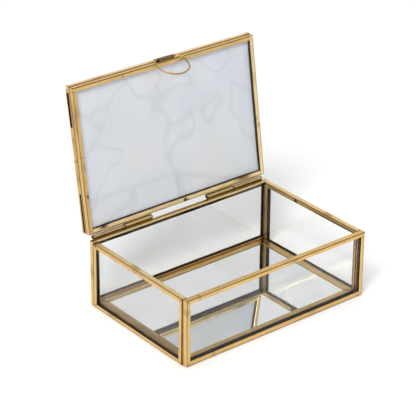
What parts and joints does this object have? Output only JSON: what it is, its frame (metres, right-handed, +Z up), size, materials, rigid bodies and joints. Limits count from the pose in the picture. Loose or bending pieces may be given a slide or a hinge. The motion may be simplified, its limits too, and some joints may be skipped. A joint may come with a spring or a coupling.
{
  "type": "jewelry box",
  "caption": "Rectangular glass box in folded brass channel with a mirrored base, a thick hinged lid holding a sheet between panes, and a wire ring pull.",
  "frame": {"origin": "centre of the underside of the base", "axes": "+Z up, X along the hinge with the box's right at +X seen from the front, front towards -Y; rest pose has the lid open on its stop"},
  "size_m": [0.2, 0.1658, 0.2034],
  "materials": {
    "brass": "satin",
    "dark_brass": "matte",
    "steel_pin": "satin",
    "glass": "polished",
    "mirror": "polished",
    "sheet": "matte",
    "cement": "matte"
  },
  "bodies": {
    "box": {"back_bottom_rail": "brass", "back_glass": "glass", "back_glazing_cement": "cement", "back_left_stile": "brass", "back_right_stile": "brass", "back_top_rail": "brass", "base_ledge_back": "brass", "base_ledge_front": "brass", "base_ledge_left": "brass", "base_ledge_right": "brass", "base_mirror": "mirror", "base_sheet": "brass", "box_knuckle_left": "brass", "box_knuckle_right": "brass", "front_bottom_rail": "brass", "front_glass": "glass", "front_glazing_cement": "cement", "front_left_stile": "brass", "front_right_stile": "brass", "front_top_rail": "brass", "hinge_pin_left": "steel_pin", "hinge_pin_right": "steel_pin", "left_back_stile": "brass", "left_bottom_rail": "brass", "left_front_stile": "brass", "left_glass": "glass", "left_glazing_cement": "cement", "left_top_rail": "brass", "right_back_stile": "brass", "right_bottom_rail": "brass", "right_front_stile": "brass", "right_glass": "glass", "right_glazing_cement": "cement", "right_top_rail": "brass"},
    "lid": {"lid_art_sheet": "sheet", "lid_inner_back": "brass", "lid_inner_front": "brass", "lid_inner_glass": "glass", "lid_inner_glazing_cement": "cement", "lid_inner_left": "brass", "lid_inner_right": "brass", "lid_knuckle_left": "brass", "lid_knuckle_right": "brass", "lid_outer_back": "brass", "lid_outer_front": "brass", "lid_outer_glass": "glass", "lid_outer_glazing_cement": "cement", "lid_outer_left": "brass", "lid_outer_right": "brass", "pull_strap": "dark_brass"},
    "ring_pull": {"ring_pull": "brass"}
  },
  "joints": [
    {"name": "lid_hinge", "type": "hinge", "parent": "box", "child": "lid", "pos_m": [0, 0.06906, 0.06498], "axis": [1, 0, 0], "range_deg": [0, 98.73]},
    {"name": "ring_swing", "type": "hinge", "parent": "lid", "child": "ring_pull", "pos_m": [0.0015, 0.09118, 0.20171], "axis": [-1, 0, 0], "range_deg": [0, 175]}
  ],
  "couplings": [
    {"joint": "ring_swing", "follows": "lid_hinge", "ratio": 0.23195}
  ]
}
